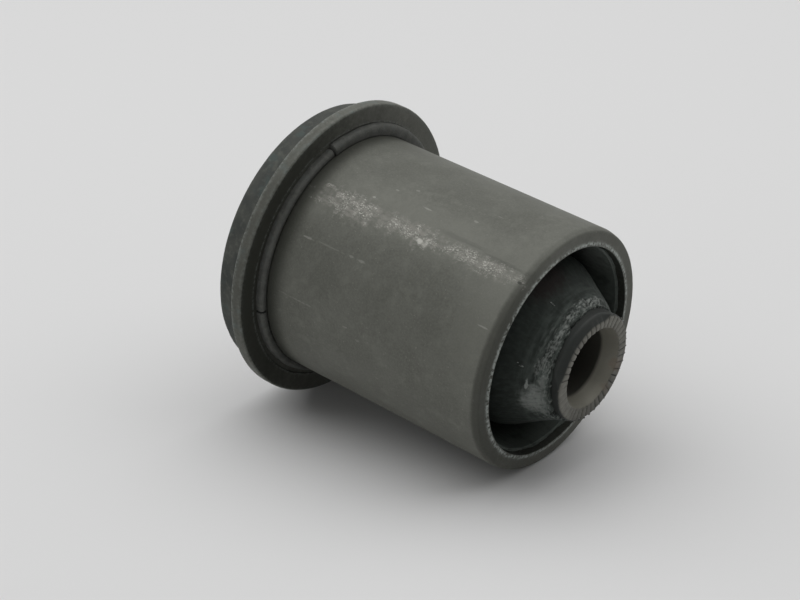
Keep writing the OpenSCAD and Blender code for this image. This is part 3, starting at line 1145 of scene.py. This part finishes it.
@dataclass(frozen=True)
class BoltSleeve:
    """The bolt sleeve with a countersink and stamped serrations at each end.

    Its lands are worn flat from one serration on, and its front edge is worn back over a part of its round.
    """

    sleeve_r: float
    bore_r: float
    rear_z: float
    front_z: float
    mouth_r: float = 8.35
    mouth_depth: float = 3.6
    chamfer: float = 0.5
    tooth_count: int = 42
    tooth_w: float = 0.5
    tooth_depth: float = 0.3
    land: Scatter = Scatter("Land", 0.0, (0.998, 0.94, 0.8), (1.002, 1.16, 1.0), (0.0, 0.42, 0.0))
    burr: Scatter = Scatter("Burr", 0.5, (0.975, 0.3, 0.3), (1.006, 1.1, 1.1), (-0.03, 0.0, 0.0))
    worn_from: int = 35
    worn_edge: float = 1.1
    worn_at: float = -115.0
    worn_arc: tuple[float, float] = (42.0, 62.0)
    worn_slope: float = 0.8
    worn_reach: float = 3.0
    burr_limit: float = 0.5
    burr_inset: float = 0.1
    land_sharp: float = 35.0
    seed: int = 7

    @classmethod
    def from_frame(cls) -> "BoltSleeve":
        """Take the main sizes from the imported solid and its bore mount."""
        low, high = box_mm("inner_sleeve")
        return cls(high.x, mount_radius("bolt_bore"), low.z, high.z)

    def section(self) -> Section:
        """Draw the sleeve's section up to the floors of the serrations.

        Returns:
            The section.
        """
        slope = (self.mouth_r - self.bore_r) / self.mouth_depth
        floor_r = self.mouth_r - slope * self.tooth_depth
        edge_r = self.sleeve_r - self.chamfer + self.tooth_depth
        rear = self.rear_z + self.tooth_depth
        front = self.front_z - self.tooth_depth
        corners = (
            Corner(self.bore_r, self.rear_z + self.mouth_depth, 0.12),
            Corner(floor_r, rear, 0.05),
            Corner(edge_r, rear),
            Corner(self.sleeve_r, self.rear_z + self.chamfer, 0.12),
            Corner(self.sleeve_r, self.front_z - self.chamfer, 0.12),
            Corner(edge_r, front, run=0.2),
            Corner(floor_r, front, 0.05),
            Corner(self.bore_r, self.front_z - self.mouth_depth, 0.12, run=4.0),
        )
        return Section(corners, 0.8)

    def edge_drop(self, r: np.ndarray, angle: np.ndarray) -> np.ndarray:
        """Find how far the worn part of the front edge lies under the face.

        Args:
            r: Radii of the points.
            angle: Angles of the points.

        Returns:
            The drop at each point.
        """
        away = np.abs((angle - self.worn_at + 180.0) % 360.0 - 180.0)
        worn = 1.0 - smooth_rise(away, *self.worn_arc)
        edge = self.sleeve_r - self.chamfer - self.worn_edge * worn
        return self.worn_slope * worn * np.maximum(r - edge, 0.0)

    def shape(self, r: np.ndarray, z: np.ndarray, angle: np.ndarray) -> tuple[np.ndarray, np.ndarray]:
        """Wear the front edge down, so that the floors of the serrations run out on it.

        Args:
            r: Radii of the points.
            z: Heights of the points.
            angle: Angles of the points.

        Returns:
            The new radii and heights.
        """
        drop = np.maximum(self.edge_drop(r, angle) - 0.9 * self.tooth_depth, 0.0)
        return r, z - drop * smooth_rise(z, self.front_z - self.worn_reach, self.front_z - self.chamfer)

    def land_mesh(self) -> bpy.types.Mesh:
        """Build the land between two serrations, along +X with its foot at Z = 0.

        Returns:
            The mesh.
        """
        lift = self.tooth_depth
        outer = self.sleeve_r - self.chamfer
        stations = (
            (self.mouth_r - 0.08, 0.03),
            (self.mouth_r, 0.85 * lift),
            *((r, lift) for r in np.linspace(self.mouth_r + 0.1, outer - 0.05, 9)),
            (outer + 0.08, 0.85 * lift),
            (outer + lift, 0.02),
        )
        rings = []
        for r, top in stations:
            foot = math.pi * r / self.tooth_count
            crown = foot - self.tooth_w / 2 * top / lift
            side = ((foot, -0.12), (0.98 * foot, 0.0), (crown + 0.03, top - 0.05), (crown - 0.1, top))
            rings.append([(r, -y, z) for y, z in side] + [(r, y, z) for y, z in reversed(side)])
        shape = bmesh.new()
        loops = [[shape.verts.new(Vector(place) * MM) for place in ring] for ring in rings]
        for near, far in zip(loops, loops[1:]):
            for k in range(len(near)):
                beside = (k + 1) % len(near)
                shape.faces.new((near[k], near[beside], far[beside], far[k]))
        shape.faces.new(loops[0])
        shape.faces.new(loops[-1])
        bmesh.ops.recalc_face_normals(shape, faces=shape.faces)
        return mesh_of("serration_land", shape)

    def burr_mesh(self) -> bpy.types.Mesh:
        """Build the crumb of steel that the stamping pushed out at one serration's end.

        Returns:
            The mesh, with its root in the sleeve's side at +X.
        """
        places = (
            (-0.1, -0.34, -0.05),
            (-0.1, 0.34, -0.05),
            (-0.1, 0.28, 0.14),
            (-0.1, -0.28, 0.14),
            (-0.1, 0.0, -0.6),
            (0.2, -0.1, 0.02),
            (0.2, 0.12, 0.07),
            (0.1, 0.02, -0.3),
        )
        shape = bmesh.new()
        for x, y, z in places:
            shape.verts.new(Vector((self.sleeve_r + x, y, z)) * MM)
        bmesh.ops.convex_hull(shape, input=shape.verts)
        bmesh.ops.recalc_face_normals(shape, faces=shape.faces)
        return mesh_of("serration_burr", shape)

    def ring_tree(self) -> bpy.types.NodeTree:
        """Build the tree that sets lands and burrs around both ends.

        Returns:
            The tree, with its sizes as named inputs.
        """
        tree = bpy.data.node_groups.new("serrated ends", "GeometryNodeTree")
        sockets = (
            ("Land", "NodeSocketObject"),
            ("Burr", "NodeSocketObject"),
            ("Count", "NodeSocketInt"),
            ("Worn from", "NodeSocketInt"),
            ("Front", "NodeSocketFloat"),
            ("Rear", "NodeSocketFloat"),
            ("Seed", "NodeSocketInt"),
            ("Steel", "NodeSocketMaterial"),
        )
        for name, holds in sockets:
            tree.interface.new_socket(name, in_out="INPUT", socket_type=holds)
        tree.interface.new_socket("Ends", in_out="OUTPUT", socket_type="NodeSocketGeometry")
        given = add(tree, "NodeGroupInput").node.outputs
        index = add(tree, "GeometryNodeInputIndex")
        share = add(tree, "ShaderNodeMath", {0: index, 1: given["Count"]}, operation="DIVIDE")
        rear_end = add(tree, "ShaderNodeMath", {0: share}, operation="FLOOR")
        height = add(tree, "ShaderNodeMix", {0: rear_end, 2: given["Front"], 3: given["Rear"]})
        tip_over = add(tree, "ShaderNodeMath", {0: rear_end, 1: math.pi}, operation="MULTIPLY")
        both = add(tree, "ShaderNodeMath", {0: given["Count"], 1: 2.0}, operation="MULTIPLY")
        centre = add(tree, "ShaderNodeCombineXYZ", {2: height})
        points = add(tree, "GeometryNodePoints", {"Count": both, "Position": centre})
        past_first = add(tree, "ShaderNodeMath", {0: index, 1: given["Worn from"]}, operation="GREATER_THAN")
        before_last = add(tree, "ShaderNodeMath", {0: index, 1: given["Count"]}, operation="LESS_THAN")
        worn = add(tree, "ShaderNodeMath", {0: past_first, 1: before_last}, operation="MULTIPLY")
        rings = []
        for kind in (self.land, self.burr):
            moved = add(tree, "ShaderNodeMath", {0: index, 1: kind.offset}, operation="ADD")
            part = add(tree, "ShaderNodeMath", {0: moved, 1: given["Count"]}, operation="DIVIDE")
            turn_by = add(tree, "ShaderNodeMath", {0: part, 1: 2 * math.pi}, operation="MULTIPLY")
            facing = add(tree, "ShaderNodeCombineXYZ", {0: tip_over, 2: turn_by})
            sizes = {0: kind.low, 1: kind.high, "Seed": given["Seed"]}
            varied = add(tree, "FunctionNodeRandomValue", sizes, data_type="FLOAT_VECTOR")
            wearing = {0: worn, 1: kind.worn, 2: varied}
            size = add(tree, "ShaderNodeVectorMath", wearing, operation="MULTIPLY_ADD")
            shape = add(tree, "GeometryNodeObjectInfo", {"Object": given[kind.name]}, out="Geometry")
            placed = {"Points": points, "Instance": shape, "Rotation": facing, "Scale": size}
            rings.append(add(tree, "GeometryNodeInstanceOnPoints", placed))
        joined = add(tree, "GeometryNodeJoinGeometry", {0: rings})
        real = add(tree, "GeometryNodeRealizeInstances", {0: joined})
        steel = add(tree, "GeometryNodeSetMaterial", {"Geometry": real, "Material": given["Steel"]})
        add(tree, "NodeGroupOutput", {0: steel})
        return tree

    def serrations(self, steel: bpy.types.Material) -> bpy.types.Object:
        """Set the lands and burrs around both ends and make them one plain mesh.

        Args:
            steel: Material of the sleeve.

        Returns:
            The piece.
        """
        land = show("serration_land", self.land_mesh())
        burr = show("serration_burr", self.burr_mesh())
        host = show("serrated_ends_host", bpy.data.meshes.new("serrated_ends_host"))
        tree = self.ring_tree()
        values = {
            "Land": land,
            "Burr": burr,
            "Count": self.tooth_count,
            "Worn from": self.worn_from,
            "Front": (self.front_z - self.tooth_depth) * MM,
            "Rear": (self.rear_z + self.tooth_depth) * MM,
            "Seed": self.seed,
            "Steel": steel,
        }
        modifier = host.modifiers.new("serrated ends", "NODES")
        modifier.node_group = tree
        for item in tree.interface.items_tree:
            if item.in_out == "INPUT":
                modifier[item.identifier] = values[item.name]
        seen = host.evaluated_get(bpy.context.evaluated_depsgraph_get())
        mesh = bpy.data.meshes.new_from_object(seen)
        mesh.name = "sleeve_serrations"
        flat = np.empty(3 * len(mesh.vertices))
        mesh.vertices.foreach_get("co", flat)
        x, y, z = flat.reshape(-1, 3).T / MM
        r = np.hypot(x, y)
        drop = np.where(z > self.front_z / 2, self.edge_drop(r, np.degrees(np.arctan2(y, x))), 0.0)
        # burrs on the worn edge are gone, so they end inside the sleeve
        inward = np.where(drop > self.burr_limit, np.minimum((self.sleeve_r - self.burr_inset) / r, 1.0), 1.0)
        places = np.stack([x * inward, y * inward, z - drop], axis=-1) * MM
        mesh.vertices.foreach_set("co", places.ravel())
        mesh.shade_smooth()
        mesh.set_sharp_from_angle(angle=math.radians(self.land_sharp))
        for spare in (host, land, burr):
            bpy.data.objects.remove(spare)
        return show("sleeve_serrations", mesh)

    def build(self) -> bpy.types.Object:
        """Build the sleeve's body."""
        columns = spread_columns(360 / (6 * self.tooth_count))
        return turned("bolt_sleeve_steel", self.section(), columns, self.shape)

    def dress(self, piece: bpy.types.Object) -> None:
        """Finish the sleeve, add its serrated ends and hand both over.

        Args:
            piece: The sleeve's body.
        """
        ends = (self.rear_z, self.front_z)
        steel = MachinedSteel().material(self.bore_r, self.mouth_r, self.sleeve_r, ends)
        piece.data.materials.append(steel)
        hand_over(piece, Slot.INNER_STEEL, "inner_sleeve")
        hand_over(self.serrations(steel), Slot.INNER_STEEL)


@dataclass(frozen=True)
class RubberBush:
    """The moulded rubber: neck, groove and lining at the front, thrust pad at the rear.

    Where a pair of heights or radii bounds a feature, the feature is absent at the first and full at the
    second.
    """

    pad_r: float
    sleeve_r: float
    wall_r: float
    flange_rear_z: float
    lining_z: float
    relief_r: float = 15.0
    relief_depth: float = 2.2
    pad_soft: float = 0.8
    lining_t: float = 0.6
    floor_r: tuple[float, float] = (18.02, 20.31)
    floor_z: float = 48.2
    shoulder: tuple[float, float] = (17.62, 56.9)
    shoulder_blend: float = 9.0
    groove_r: float = 18.5
    lining_setback: float = 1.75
    neck_t: float = 0.5
    neck_z: float = 67.9
    neck_above: tuple[float, float] = (55.0, 62.0)
    neck_within: tuple[float, float] = (18.0, 16.5)
    mark_r: float = 13.0
    lump_h: float = 0.08
    ridge_depth: float = 1.5
    ridge_half: float = 0.7
    ridge_h: float = 0.2
    ridge_arc: tuple[float, float] = (20.0, 70.0)
    fold_h: float = 0.45
    edge_above: tuple[float, float] = (65.4, 67.4)
    edge_within: tuple[float, float] = (13.6, 12.4)
    edge_tilt: float = 0.9
    edge_high: float = -10.0
    tear_r: float = 12.0
    tear_h: float = 0.3
    flash_from: tuple[float, float] = (20.6, 21.0)
    flash_h: float = 0.35
    flash_most: float = 0.2
    pad_wave: float = 0.06

    @classmethod
    def from_frame(cls, outer: OuterSleeve, bolt: BoltSleeve) -> "RubberBush":
        """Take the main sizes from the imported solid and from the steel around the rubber."""
        _, high = box_mm("rubber_bush")
        lining_z = outer.end_z - cls.lining_setback
        return cls(high.x, bolt.sleeve_r, outer.wall_r, outer.flange_rear_z, lining_z)

    def section(self) -> Section:
        """Draw the rubber's section.

        Returns:
            The section.
        """
        lining_r = self.wall_r - self.lining_t
        neck_r = self.sleeve_r + self.neck_t
        corners = (
            Corner(self.sleeve_r, self.relief_depth),
            Corner(self.relief_r, self.relief_depth, 0.4),
            Corner(self.relief_r, 0.0, 0.5, worn=0.3),
            Corner(self.pad_r, 0.0, self.pad_soft, worn=0.2, run=0.5),
            Corner(self.pad_r, self.flange_rear_z, 0.15, worn=0.3, run=3.0),
            Corner(self.wall_r, self.flange_rear_z, run=4.0),
            Corner(self.wall_r, self.lining_z, run=0.2),
            Corner(lining_r + 0.35, self.lining_z + 0.35, 0.08),
            Corner(lining_r + 0.15, self.lining_z, 0.05),
            Corner(lining_r, self.lining_z - 0.1, 0.1),
            Corner(self.floor_r[1], self.floor_z, 1.12),
            Corner(self.floor_r[0], self.floor_z, 1.12),
            Corner(*self.shoulder, self.shoulder_blend, run=0.45),
            Corner(neck_r, self.neck_z - self.neck_t, 0.2, run=0.2),
            Corner(neck_r, self.neck_z, 0.15, run=0.3),
            Corner(self.sleeve_r, self.neck_z, run=5.0),
        )
        return Section(corners, 0.8)

    def shape(self, r: np.ndarray, z: np.ndarray, angle: np.ndarray) -> tuple[np.ndarray, np.ndarray]:
        """Give the turned section its torn neck edge, its flash and its moulded unevenness.

        Args:
            r: Radii of the points.
            z: Heights of the points.
            angle: Angles of the points.

        Returns:
            The new radii and heights.
        """
        level = np.zeros_like(z)
        skin = smooth_rise(r, self.sleeve_r + 0.05, self.sleeve_r + self.neck_t)
        on_neck = smooth_rise(z, *self.neck_above) * smooth_rise(r, *self.neck_within)
        on_edge = smooth_rise(z, *self.edge_above) * smooth_rise(r, *self.edge_within)
        on_flash = smooth_rise(z, self.lining_z - 0.05, self.lining_z + 0.3)
        on_flash = on_flash * smooth_rise(r, *self.flash_from)
        on_pad = smooth_rise(r, self.pad_r - 1.5, self.pad_r)
        ridge = np.exp(-(((z - self.neck_z + self.ridge_depth) / self.ridge_half) ** 2))
        folds = self.ridge_h + self.fold_h * relief(r, 2.0 * z, angle, grain=1.5, seed=6.0)
        lumps = self.lump_h * relief(r, z, angle, grain=2.6, seed=5.0)
        neck = lumps + ridge * smooth_rise(-angle, *self.ridge_arc) * folds
        tilt = self.edge_tilt * np.cos(np.radians(angle - self.edge_high))
        torn = self.tear_h * relief(np.full_like(r, self.tear_r), level, angle, grain=1.3, seed=7.0)
        ragged = self.flash_h * relief(np.full_like(r, self.wall_r), level, angle, grain=2.2, seed=8.0)
        pad = self.pad_wave * (relief(r, z, angle, grain=4.0, seed=9.0) - 1.0)
        z = z + on_edge * (tilt + torn) + on_flash * np.minimum(ragged, self.flash_most)
        return r + skin * (on_neck * neck + on_pad * pad), z

    def build(self) -> bpy.types.Object:
        """Build the rubber."""
        return turned("rubber_bush_moulded", self.section(), spread_columns(1.2), self.shape)

    def dress(self, piece: bpy.types.Object) -> None:
        """Finish the rubber, with the pad greyed by handling, and hand it over.

        Args:
            piece: The rubber.
        """
        smears = (
            Spot(-170.0, 66.2, 1.6, 0.8, 1.0, 1.4, 0.8),
            Spot(-158.0, 66.3, 2.0, 0.7, 1.0, 1.4, 0.8),
            Spot(-147.0, 65.9, 2.0, 0.6, 0.9, 1.6, 0.8),
            Spot(-128.0, 66.4, 2.4, 0.45, 0.9, 1.6, 0.8),
            Spot(-112.0, 66.9, 2.0, 0.45, 0.9, 1.6, 0.8),
            Spot(-95.0, 66.8, 2.2, 0.6, 0.7, 1.6, 0.8),
            Spot(-76.0, 66.3, 2.2, 0.9, 0.6, 1.6, 0.8),
            Spot(-125.0, 62.8, 0.12, 0.6, 1.0),
            Spot(-70.6, 63.1, 0.16, 0.35, 0.9),
            Spot(-72.5, 62.4, 0.1, 0.2, 0.8),
        )
        leaf = (
            Spot(-38.0, 65.6, 3.0, 2.0, 0.66, 0.5, 1.1),
            Spot(-47.0, 66.0, 2.1, 1.5, 0.7, 0.5, 1.1),
            Spot(-55.0, 64.4, 1.0, 0.3, 0.9, 0.9, 0.7),
            Spot(-30.0, 66.8, 3.0, 0.7, 0.45, 0.8, 0.9),
            Spot(-60.0, 67.0, 2.0, 0.6, 0.5, 0.9, 1.0),
        )
        # painted shadow that the tube's lip casts on the neck
        painted_shadows = (Spot(-136.0, 59.4, 4.0, 2.4, 0.8, 0.6, 1.0),)
        # painted light on the lining's inside near its top
        lit_patches = (Spot(162.0, 56.5, 5.0, 4.0, 0.35, 0.4, 1.5),)
        lining_r = self.wall_r - self.lining_t
        finish = MouldedRubber().material(
            self.mark_r, self.groove_r, self.neck_z, lining_r, smears, leaf, painted_shadows, lit_patches
        )
        piece.data.materials.append(finish)
        piece.data.materials.append(DustyRubber().material())
        for face in piece.data.polygons:
            middle = face.center / MM
            on_pad = middle.z < self.flange_rear_z + 0.1 and middle.xy.length > self.relief_r - 0.5
            face.material_index = int(on_pad)
        hand_over(piece, Slot.RUBBER, "rubber_bush")


@dataclass(frozen=True)
class RootBead:
    """The rubber bead at the tube's root, parted by four nicks."""

    outer_r: float
    tube_r: float
    seat_z: float
    top_z: float
    under_tube: float = 0.3
    nick_angle: float = 41.75
    nick_w: float = 0.35
    nick_depth: float = 0.9
    nick_step: float = 0.15
    nick_columns: tuple[float, float] = (1.4, 0.1)
    sunk: float = 0.25
    drawn_in: float = 0.3
    upper_spread: float = 0.6
    top_spread: float = 0.45
    top_arc: tuple[float, float] = (140.0, 165.0)
    lower_spread: float = 0.1
    lump_h: float = 0.05
    bump_at: float = -135.5
    bump_half: float = 1.5

    @classmethod
    def from_frame(cls, outer: OuterSleeve) -> "RootBead":
        """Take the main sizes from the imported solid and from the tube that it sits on."""
        low, high = box_mm("root_bead")
        return cls(high.x, outer.tube_r, low.z, high.z)

    def nicks(self) -> list[float]:
        """List the angles of the four nicks."""
        return [side + turn_by for side in (-90.0, 90.0) for turn_by in (-self.nick_angle, self.nick_angle)]

    def section(self) -> Section:
        """Draw the bead's section, with the crevice that it leaves beside the tube.

        Returns:
            The section.
        """
        foot_r = self.tube_r - self.under_tube
        corners = (
            Corner(foot_r, self.seat_z),
            Corner(self.outer_r, self.seat_z),
            Corner(self.outer_r, self.top_z, 0.9, worn=0.3),
            Corner(self.tube_r + 0.2, self.top_z, 0.2),
            Corner(self.tube_r + 0.02, self.top_z - 0.08),
            Corner(foot_r, self.top_z - self.under_tube),
        )
        return Section(corners, 0.25)

    def shape(self, r: np.ndarray, z: np.ndarray, angle: np.ndarray) -> tuple[np.ndarray, np.ndarray]:
        """Cut the nicks and set the lengths of bead slightly out of line.

        Args:
            r: Radii of the points.
            z: Heights of the points.
            angle: Angles of the points.

        Returns:
            The new radii and heights.
        """
        outside = smooth_rise(r, self.tube_r + 0.1, self.outer_r)
        raised = smooth_rise(z, self.seat_z + 0.3, self.top_z)
        cut = np.zeros_like(angle)
        for nick in self.nicks():
            arc = np.radians((angle - nick + 180.0) % 360.0 - 180.0) * self.tube_r
            cut = np.maximum(cut, 1.0 - smooth_rise(np.abs(arc), 0.3 * self.nick_w, 0.8 * self.nick_w))
        lumps = self.lump_h * relief(r, z, angle, grain=1.8, seed=10.0)
        bump = np.exp(-((np.radians(angle - self.bump_at) * self.tube_r / self.bump_half) ** 2))
        bump = bump * (0.12 + 0.2 * relief(r, z, angle, grain=0.8, seed=11.0))
        turn_by = np.abs(angle)
        upper_nick = 90.0 + self.nick_angle
        lower_nick = 90.0 - self.nick_angle
        upper = smooth_rise(turn_by, upper_nick - self.nick_step, upper_nick + self.nick_step)
        lower = 1.0 - smooth_rise(turn_by, lower_nick - self.nick_step, lower_nick + self.nick_step)
        top = smooth_rise(turn_by, *self.top_arc)
        spread = self.upper_spread * upper + self.top_spread * top + self.lower_spread * lower
        r = r + outside * (lumps + bump - self.drawn_in + spread - self.nick_depth * cut)
        return r, z - raised * (np.abs(lumps) + self.sunk * (1.0 - upper) + self.nick_depth * cut)

    def build(self) -> bpy.types.Object:
        """Build the bead."""
        half, step = self.nick_columns
        fine = [(nick - half, nick + half, step) for nick in self.nicks()]
        return turned("root_bead_rubber", self.section(), spread_columns(1.2, fine), self.shape)

    def dress(self, piece: bpy.types.Object) -> None:
        """Finish the bead and hand it over.

        Args:
            piece: The bead.
        """
        finish = DustyRubber("#525350", "#454643", "#62635d", "#4f5452", 2.0)
        piece.data.materials.append(finish.material())
        hand_over(piece, Slot.RUBBER, "root_bead")


# Studio


@dataclass(frozen=True)
class Lamp:
    """A soft rectangular lamp, placed in metres along the floor's own axes.

    Attributes:
        name: Name of the lamp.
        power: Power in watts.
        width: Width in metres.
        height: Height in metres.
        at: Place of its middle: to the right, away and up.
        turn_by: Turn about the upward axis in degrees.
        tip: How far it is tipped up from facing the floor, in degrees.
    """

    name: str
    power: float
    width: float
    height: float
    at: tuple[float, float, float]
    turn_by: float = 0.0
    tip: float = 0.0


@dataclass(frozen=True)
class Studio:
    """Camera, pale floor and soft light, with the bushing lying on its side as photographed.

    Attributes:
        eye: Place of the camera.
        right: Direction that is to the right in the picture, along the floor.
        ahead: Direction that the camera looks in.
        lens: Focal length on a 36 mm wide picture.
        floor_up: Direction away from the floor that the bushing lies on.
        floor_at: How far the floor lies along that direction.
        middle: Middle of the bushing.
        pale: Colour of the floor and of the background.
        floor_radius: Radius of the floor in metres.
        fade: Distances in metres between which the floor fades into the background.
        lamps: The lamps.
        fill: Strength of the light that comes from the whole room.
    """

    eye: tuple[float, float, float] = (-19.14, -359.84, 248.06)
    right: tuple[float, float, float] = (-0.4075, 0.5004, 0.7639)
    ahead: tuple[float, float, float] = (0.0556, 0.8485, -0.5262)
    lens: float = 95.535
    floor_up: tuple[float, float, float] = (-0.8488, -0.5152, -0.1187)
    floor_at: float = -32.02
    middle: tuple[float, float, float] = (0.0, 0.0, 35.0)
    pale: str = "#d9d9d9"
    floor_radius: float = 0.6
    fade: tuple[float, float] = (0.22, 0.5)
    lamps: tuple[Lamp, ...] = (
        Lamp("soft box", 15.0, 2.6, 1.2, (-0.15, 0.2, 0.85)),
        Lamp("left card", 1.6, 0.9, 0.3, (-0.65, -0.7, 0.07), -43.0, 89.0),
    )
    fill: float = 0.19

    def floor_frame(self) -> Matrix:
        """Find the floor's own axes: right and away in the picture, and up.

        Returns:
            The floor's place as a matrix, in metres.
        """
        up = Vector(self.floor_up).normalized()
        right = (Vector(self.right) - up * up.dot(Vector(self.right))).normalized()
        away = up.cross(right)
        middle = Vector(self.middle)
        foot = (middle + up * (self.floor_at - up.dot(middle))) * MM
        place = Matrix((right, away, up)).transposed().to_4x4()
        place.translation = foot
        return place

    def camera(self) -> None:
        """Set up the camera that the picture was taken with."""
        lens = bpy.data.cameras.new("camera")
        lens.lens = self.lens
        lens.sensor_width = 36.0
        lens.clip_start = 0.01
        back = -Vector(self.ahead).normalized()
        right = (Vector(self.right) - back * back.dot(Vector(self.right))).normalized()
        view = show("camera", lens)
        view.matrix_world = Matrix((right, back.cross(right), back)).transposed().to_4x4()
        view.location = Vector(self.eye) * MM
        bpy.context.scene.camera = view

    def floor(self) -> None:
        """Lay the floor, which fades into the background and is clear from below."""
        shape = bmesh.new()
        bmesh.ops.create_circle(shape, cap_ends=True, segments=96, radius=self.floor_radius)
        mesh = mesh_of("floor", shape)
        floor = show("floor", mesh)
        floor.matrix_world = self.floor_frame()
        material = bpy.data.materials.new("pale paper floor")
        tree = blank_tree(material)
        at = add(tree, "ShaderNodeTexCoord", out="Object")
        far = add(tree, "ShaderNodeVectorMath", {0: at}, out="Value", operation="LENGTH")
        edges = {0: far, 1: self.fade[0], 2: self.fade[1]}
        fade = add(tree, "ShaderNodeMapRange", edges, interpolation_type="SMOOTHSTEP")
        paper = add(tree, "ShaderNodeBsdfDiffuse", {"Color": linear(self.pale)})
        glow = add(tree, "ShaderNodeEmission", {"Color": linear(self.pale)})
        clear = add(tree, "ShaderNodeBsdfTransparent")
        below = add(tree, "ShaderNodeNewGeometry", out="Backfacing")
        seen = add(tree, "ShaderNodeMixShader", {0: fade, 1: paper, 2: glow})
        sheet = add(tree, "ShaderNodeMixShader", {0: below, 1: seen, 2: clear})
        add(tree, "ShaderNodeOutputMaterial", {"Surface": sheet})
        mesh.materials.append(material)

    def lights(self) -> None:
        """Hang a very large soft lamp overhead, stand a weak one low at the left, and fill from the room."""
        place = self.floor_frame()
        for lamp in self.lamps:
            light = bpy.data.lights.new(lamp.name, "AREA")
            light.energy = lamp.power
            light.shape = "RECTANGLE"
            light.size = lamp.width
            light.size_y = lamp.height
            turned_by = Matrix.Rotation(math.radians(lamp.turn_by), 4, "Z")
            tipped = Matrix.Rotation(math.radians(lamp.tip), 4, "X")
            show(lamp.name, light).matrix_world = place @ Matrix.Translation(lamp.at) @ turned_by @ tipped
        world = bpy.data.worlds.new("white room")
        bpy.context.scene.world = world
        tree = blank_tree(world)
        path = add(tree, "ShaderNodeLightPath").node.outputs
        indirect = {0: path["Is Glossy Ray"], 1: path["Is Transmission Ray"]}
        mirrored = add(tree, "ShaderNodeMath", indirect, operation="MAXIMUM")
        seen = add(tree, "ShaderNodeMath", {0: path["Is Camera Ray"], 1: mirrored}, operation="MAXIMUM")
        fill = add(tree, "ShaderNodeBackground", {"Color": (1.0, 1.0, 1.0, 1.0), "Strength": self.fill})
        backdrop = add(tree, "ShaderNodeBackground", {"Color": linear(self.pale), "Strength": 1.0})
        both = add(tree, "ShaderNodeMixShader", {0: seen, 1: fill, 2: backdrop})
        add(tree, "ShaderNodeOutputWorld", {"Surface": both})

    def set_up(self) -> None:
        """Set up camera, floor and light, at the plain view transform."""
        bpy.context.scene.view_settings.view_transform = "Standard"
        self.camera()
        self.floor()
        self.lights()


def main() -> None:
    """Build the bushing's pieces in order, then the studio around them."""
    logging.basicConfig(level=logging.INFO, format="%(name)s: %(message)s")
    outer = OuterSleeve.from_frame()
    bolt = BoltSleeve.from_frame()
    rubber = RubberBush.from_frame(outer, bolt)
    bead = RootBead.from_frame(outer)
    for part in (outer, bolt, rubber, bead):
        part.dress(part.build())
    Studio().set_up()


if __name__ == "__main__":
    main()
